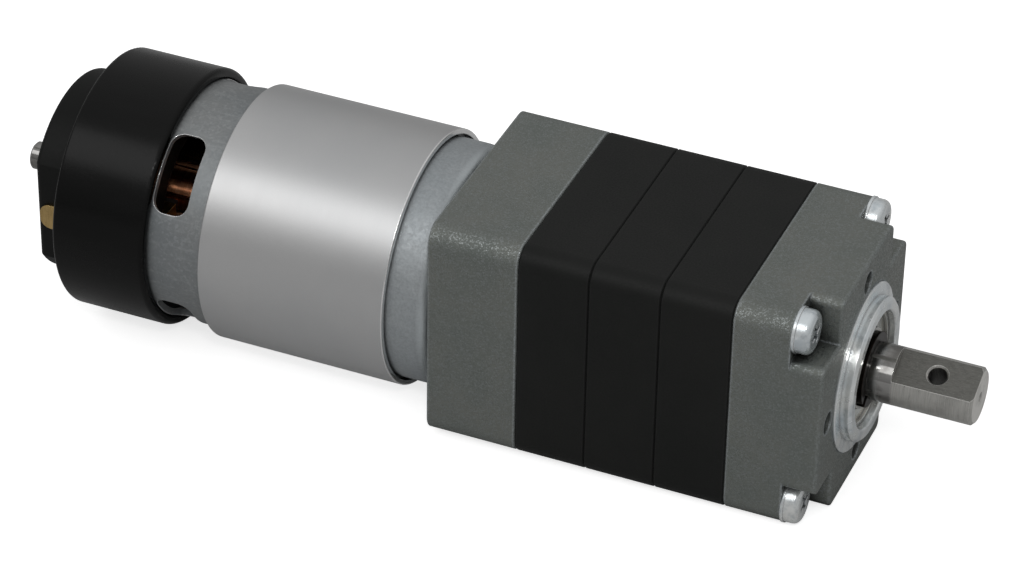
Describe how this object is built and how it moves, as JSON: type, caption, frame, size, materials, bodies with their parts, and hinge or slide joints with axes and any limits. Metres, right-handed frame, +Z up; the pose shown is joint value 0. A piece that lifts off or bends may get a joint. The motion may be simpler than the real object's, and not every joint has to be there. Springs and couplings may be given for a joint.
{
  "type": "planetary gearmotor",
  "caption": "Square multi-stage planetary gearbox with a D-cut output shaft, driven by a round brush motor with a flux ring and a black rear cover.",
  "frame": {"origin": "centre of the front mounting face, on the shaft axis", "axes": "+X out along the output shaft, +Z up, with the gearbox's flat sides square to Y and Z"},
  "size_m": [0.1753, 0.0462, 0.046],
  "materials": {
    "cast_housing": "satin",
    "black_ring_gear": "matte",
    "black_cover": "satin",
    "end_bell_plastic": "matte",
    "satin_flux_ring": "satin",
    "galvanised_can": "matte",
    "zinc_plate": "satin",
    "ground_steel": "satin",
    "gear_steel": "satin",
    "bearing_steel": "polished",
    "black_oxide": "satin",
    "ferrite": "matte",
    "spring_steel": "satin",
    "sintered_bronze": "matte",
    "brass": "satin",
    "copper": "satin",
    "carbon": "matte",
    "lamination_steel": "matte",
    "phenolic": "matte"
  },
  "bodies": {
    "housing": {"front_flange": "cast_housing", "bearing_retainer": "zinc_plate", "ring_gear_stage_1": "black_ring_gear", "ring_gear_stage_2": "black_ring_gear", "ring_gear_stage_3": "black_ring_gear", "spacer_disc_stage_1": "gear_steel", "spacer_disc_stage_2": "gear_steel", "spacer_disc_stage_3": "gear_steel", "motor_flange": "cast_housing", "housing_screws": "zinc_plate", "front_bearing_outer_race": "bearing_steel", "front_bearing_shields": "bearing_steel", "rear_bearing_outer_race": "bearing_steel", "motor_can": "galvanised_can", "flux_ring": "satin_flux_ring", "stator_magnet_upper": "ferrite", "stator_magnet_lower": "ferrite", "magnet_clips": "spring_steel", "motor_bearing_outer_race": "bearing_steel", "rear_bush": "sintered_bronze", "end_bell": "end_bell_plastic", "carbon_brushes": "carbon", "brush_holders": "brass", "brush_springs": "spring_steel", "terminals": "brass", "rear_cover": "black_cover", "motor_screws": "zinc_plate"},
    "output": {"output_shaft": "ground_steel", "output_carrier": "gear_steel", "carrier_pins_stage_3": "gear_steel", "front_bearing_inner_race": "bearing_steel", "rear_bearing_inner_race": "bearing_steel", "shaft_spacer": "black_oxide", "shaft_circlip": "black_oxide"},
    "carrier_2": {"planet_carrier_stage_2": "gear_steel", "carrier_pins_stage_2": "gear_steel", "sun_gear_stage_3": "gear_steel"},
    "carrier_1": {"planet_carrier_stage_1": "gear_steel", "carrier_pins_stage_1": "gear_steel", "sun_gear_stage_2": "gear_steel"},
    "rotor": {"rotor_shaft": "ground_steel", "sun_gear_stage_1": "gear_steel", "armature_core": "lamination_steel", "armature_windings": "copper", "commutator_hub": "phenolic", "commutator_segments": "copper", "motor_bearing_inner_race": "bearing_steel"},
    "planet_3a": {"planet_gear_3a": "gear_steel"},
    "planet_3b": {"planet_gear_3b": "gear_steel"},
    "planet_3c": {"planet_gear_3c": "gear_steel"},
    "planet_2a": {"planet_gear_2a": "gear_steel"},
    "planet_2b": {"planet_gear_2b": "gear_steel"},
    "planet_2c": {"planet_gear_2c": "gear_steel"},
    "planet_1a": {"planet_gear_1a": "gear_steel"},
    "planet_1b": {"planet_gear_1b": "gear_steel"},
    "planet_1c": {"planet_gear_1c": "gear_steel"},
    "front_bearing_cage": {"front_bearing_balls_and_cage": "bearing_steel"},
    "rear_bearing_cage": {"rear_bearing_balls_and_cage": "bearing_steel"},
    "motor_bearing_cage": {"motor_bearing_balls_and_cage": "bearing_steel"}
  },
  "joints": [
    {"name": "output_spin", "type": "hinge", "parent": "housing", "child": "output", "pos_m": [0, 0, 0], "axis": [1, 0, 0], "continuous": true},
    {"name": "carrier_2_spin", "type": "hinge", "parent": "housing", "child": "carrier_2", "pos_m": [0, 0, 0], "axis": [1, 0, 0], "continuous": true},
    {"name": "carrier_1_spin", "type": "hinge", "parent": "housing", "child": "carrier_1", "pos_m": [0, 0, 0], "axis": [1, 0, 0], "continuous": true},
    {"name": "rotor_spin", "type": "hinge", "parent": "housing", "child": "rotor", "pos_m": [0, 0, 0], "axis": [1, 0, 0], "continuous": true},
    {"name": "planet_3a_spin", "type": "hinge", "parent": "output", "child": "planet_3a", "pos_m": [0, 0.0105, 0], "axis": [1, 0, 0], "continuous": true},
    {"name": "planet_3b_spin", "type": "hinge", "parent": "output", "child": "planet_3b", "pos_m": [0, -0.00525, 0.00909], "axis": [1, 0, 0], "continuous": true},
    {"name": "planet_3c_spin", "type": "hinge", "parent": "output", "child": "planet_3c", "pos_m": [0, -0.00525, -0.00909], "axis": [1, 0, 0], "continuous": true},
    {"name": "planet_2a_spin", "type": "hinge", "parent": "carrier_2", "child": "planet_2a", "pos_m": [0, 0.0105, 0], "axis": [1, 0, 0], "continuous": true},
    {"name": "planet_2b_spin", "type": "hinge", "parent": "carrier_2", "child": "planet_2b", "pos_m": [0, -0.00525, 0.00909], "axis": [1, 0, 0], "continuous": true},
    {"name": "planet_2c_spin", "type": "hinge", "parent": "carrier_2", "child": "planet_2c", "pos_m": [0, -0.00525, -0.00909], "axis": [1, 0, 0], "continuous": true},
    {"name": "planet_1a_spin", "type": "hinge", "parent": "carrier_1", "child": "planet_1a", "pos_m": [0, 0.0105, 0], "axis": [1, 0, 0], "continuous": true},
    {"name": "planet_1b_spin", "type": "hinge", "parent": "carrier_1", "child": "planet_1b", "pos_m": [0, -0.00525, 0.00909], "axis": [1, 0, 0], "continuous": true},
    {"name": "planet_1c_spin", "type": "hinge", "parent": "carrier_1", "child": "planet_1c", "pos_m": [0, -0.00525, -0.00909], "axis": [1, 0, 0], "continuous": true},
    {"name": "front_bearing_cage_spin", "type": "hinge", "parent": "housing", "child": "front_bearing_cage", "pos_m": [0, 0, 0], "axis": [1, 0, 0], "continuous": true},
    {"name": "rear_bearing_cage_spin", "type": "hinge", "parent": "housing", "child": "rear_bearing_cage", "pos_m": [0, 0, 0], "axis": [1, 0, 0], "continuous": true},
    {"name": "motor_bearing_cage_spin", "type": "hinge", "parent": "housing", "child": "motor_bearing_cage", "pos_m": [0, 0, 0], "axis": [1, 0, 0], "continuous": true}
  ],
  "couplings": [
    {"joint": "carrier_2_spin", "follows": "output_spin", "ratio": 5},
    {"joint": "carrier_1_spin", "follows": "output_spin", "ratio": 25},
    {"joint": "rotor_spin", "follows": "output_spin", "ratio": 125},
    {"joint": "planet_3a_spin", "follows": "output_spin", "ratio": -2.6667},
    {"joint": "planet_3b_spin", "follows": "output_spin", "ratio": -2.6667},
    {"joint": "planet_3c_spin", "follows": "output_spin", "ratio": -2.6667},
    {"joint": "planet_2a_spin", "follows": "output_spin", "ratio": -13.333},
    {"joint": "planet_2b_spin", "follows": "output_spin", "ratio": -13.333},
    {"joint": "planet_2c_spin", "follows": "output_spin", "ratio": -13.333},
    {"joint": "planet_1a_spin", "follows": "output_spin", "ratio": -66.667},
    {"joint": "planet_1b_spin", "follows": "output_spin", "ratio": -66.667},
    {"joint": "planet_1c_spin", "follows": "output_spin", "ratio": -66.667},
    {"joint": "front_bearing_cage_spin", "follows": "output_spin", "ratio": 0.40063},
    {"joint": "rear_bearing_cage_spin", "follows": "output_spin", "ratio": 0.40063},
    {"joint": "motor_bearing_cage_spin", "follows": "output_spin", "ratio": 46.429}
  ]
}
